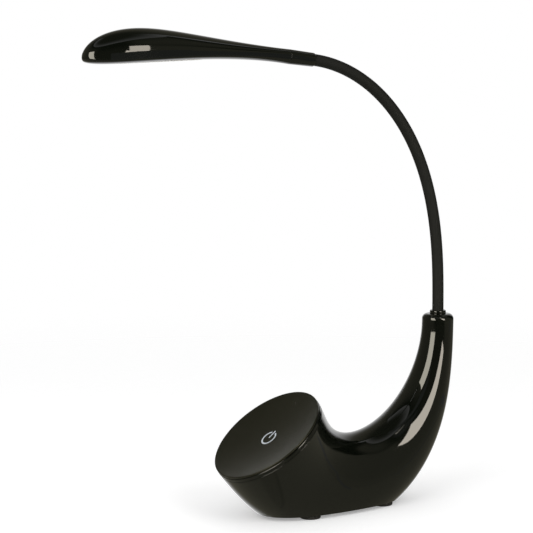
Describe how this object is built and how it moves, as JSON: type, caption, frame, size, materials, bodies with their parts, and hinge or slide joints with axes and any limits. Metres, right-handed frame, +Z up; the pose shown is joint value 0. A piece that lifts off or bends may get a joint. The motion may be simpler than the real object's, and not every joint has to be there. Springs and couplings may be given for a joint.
{
  "type": "gooseneck desk lamp",
  "caption": "Black LED desk lamp: horn-shaped base with a round tilted touch panel, a flexible gooseneck and a slim tapered head.",
  "frame": {"origin": "on the table plane, under the middle of the lamp's bounding box", "axes": "+Z up; -Y towards the front, where the touch panel and the head are; X across, with X = 0 the plane of symmetry"},
  "size_m": [0.1, 0.3454, 0.3998],
  "materials": {
    "gloss_shell": "gloss black ABS",
    "gloss_ring": "gloss black ABS",
    "gloss_head": "gloss black ABS",
    "satin_panel": "satin black touch panel",
    "white_mark": "translucent white",
    "dark_window": "tinted",
    "cover_plastic": "fine grain black ABS",
    "foot_rubber": "matte",
    "sleeve_rubber": "smooth matte",
    "cast_iron": "as cast",
    "steel": "plated",
    "core_steel": "wound steel",
    "brass": "plain",
    "aluminium": "mill",
    "board": "solder mask",
    "white_board": "white solder mask",
    "board_parts": "moulded",
    "led": "phosphor under silicone",
    "lead": "smooth",
    "diffuser": "opal",
    "reflector": "white"
  },
  "bodies": {
    "base": {"base_shell": "gloss_shell", "bottom_cover": "cover_plastic", "rubber_feet": "foot_rubber", "cover_screws": "steel", "ballast_weight": "cast_iron", "panel_ring": "gloss_ring", "touch_panel": "satin_panel", "power_mark": "white_mark", "sensor_window": "dark_window", "touch_board": "board", "mark_led": "led", "driver_board": "board", "board_posts": "brass", "board_parts": "board_parts", "inlet_bezel": "cover_plastic", "dc_jack": "board_parts", "jack_contacts": "steel", "inlet_lead": "lead", "panel_lead": "lead", "neck_lead": "lead", "neck_collar": "gloss_ring", "neck_ferrule": "steel", "neck_nut": "steel", "neck_sleeve_0": "sleeve_rubber", "neck_core_0": "core_steel"},
    "neck_1": {"neck_sleeve_1": "sleeve_rubber", "neck_core_1": "core_steel"},
    "neck_2": {"neck_sleeve_2": "sleeve_rubber", "neck_core_2": "core_steel"},
    "neck_3": {"neck_sleeve_3": "sleeve_rubber", "neck_core_3": "core_steel"},
    "neck_4": {"neck_sleeve_4": "sleeve_rubber", "neck_core_4": "core_steel"},
    "neck_5": {"neck_sleeve_5": "sleeve_rubber", "neck_core_5": "core_steel"},
    "neck_6": {"neck_sleeve_6": "sleeve_rubber", "neck_core_6": "core_steel"},
    "neck_7": {"neck_sleeve_7": "sleeve_rubber", "neck_core_7": "core_steel"},
    "neck_8": {"neck_sleeve_8": "sleeve_rubber", "neck_core_8": "core_steel"},
    "neck_9": {"neck_sleeve_9": "sleeve_rubber", "neck_core_9": "core_steel"},
    "neck_10": {"neck_sleeve_10": "sleeve_rubber", "neck_core_10": "core_steel"},
    "neck_11": {"neck_sleeve_11": "sleeve_rubber", "neck_core_11": "core_steel"},
    "head": {"neck_sleeve_12": "sleeve_rubber", "neck_core_12": "core_steel", "head_collar": "gloss_ring", "core_clip": "steel", "head_shell": "gloss_head", "head_cover": "gloss_head", "diffuser": "diffuser", "reflector": "reflector", "led_board": "white_board", "leds": "led", "heat_spreader": "aluminium", "head_screws": "steel"}
  },
  "joints": [
    {"name": "pitch_1", "type": "hinge", "parent": "base", "child": "neck_1", "pos_m": [0, 0.15787, 0.17378], "axis": [1, 0, 0], "range_deg": [-12, 6], "deforming": ["neck_lead"]},
    {"name": "sway_2", "type": "hinge", "parent": "neck_1", "child": "neck_2", "pos_m": [0, 0.15735, 0.19652], "axis": [0, 0.9988, 0.048], "range_deg": [-12, 12], "deforming": ["neck_lead"]},
    {"name": "pitch_3", "type": "hinge", "parent": "neck_2", "child": "neck_3", "pos_m": [0, 0.15569, 0.21921], "axis": [1, 0, 0], "range_deg": [-12, 6], "deforming": ["neck_lead"]},
    {"name": "sway_4", "type": "hinge", "parent": "neck_3", "child": "neck_4", "pos_m": [0, 0.15243, 0.24172], "axis": [0, 0.9823, 0.1872], "range_deg": [-12, 12], "deforming": ["neck_lead"]},
    {"name": "pitch_5", "type": "hinge", "parent": "neck_4", "child": "neck_5", "pos_m": [0, 0.14718, 0.26386], "axis": [1, 0, 0], "range_deg": [-12, 6], "deforming": ["neck_lead"]},
    {"name": "sway_6", "type": "hinge", "parent": "neck_5", "child": "neck_6", "pos_m": [0, 0.13964, 0.28532], "axis": [0, 0.9219, 0.3875], "range_deg": [-12, 12], "deforming": ["neck_lead"]},
    {"name": "pitch_7", "type": "hinge", "parent": "neck_6", "child": "neck_7", "pos_m": [0, 0.12958, 0.30573], "axis": [1, 0, 0], "range_deg": [-18, 10], "deforming": ["neck_lead"]},
    {"name": "sway_8", "type": "hinge", "parent": "neck_7", "child": "neck_8", "pos_m": [0, 0.11688, 0.3246], "axis": [0, 0.786, 0.6182], "range_deg": [-12, 12], "deforming": ["neck_lead"]},
    {"name": "pitch_9", "type": "hinge", "parent": "neck_8", "child": "neck_9", "pos_m": [0, 0.10153, 0.3414], "axis": [1, 0, 0], "range_deg": [-18, 10], "deforming": ["neck_lead"]},
    {"name": "sway_10", "type": "hinge", "parent": "neck_9", "child": "neck_10", "pos_m": [0, 0.08369, 0.35551], "axis": [0, 0.5503, 0.835], "range_deg": [-12, 12], "deforming": ["neck_lead"]},
    {"name": "pitch_11", "type": "hinge", "parent": "neck_10", "child": "neck_11", "pos_m": [0, 0.06368, 0.36634], "axis": [1, 0, 0], "range_deg": [-18, 10], "deforming": ["neck_lead"]},
    {"name": "sway_12", "type": "hinge", "parent": "neck_11", "child": "head", "pos_m": [0, 0.04202, 0.37329], "axis": [0, 0.2104, 0.9776], "range_deg": [-12, 12], "deforming": ["neck_lead"]}
  ],
  "couplings": [
    {"joint": "pitch_3", "follows": "pitch_1", "ratio": 1},
    {"joint": "pitch_5", "follows": "pitch_1", "ratio": 1},
    {"joint": "pitch_9", "follows": "pitch_7", "ratio": 1},
    {"joint": "pitch_11", "follows": "pitch_7", "ratio": 1},
    {"joint": "sway_4", "follows": "sway_2", "ratio": 1},
    {"joint": "sway_6", "follows": "sway_2", "ratio": 1},
    {"joint": "sway_10", "follows": "sway_8", "ratio": 1},
    {"joint": "sway_12", "follows": "sway_8", "ratio": 1}
  ]
}
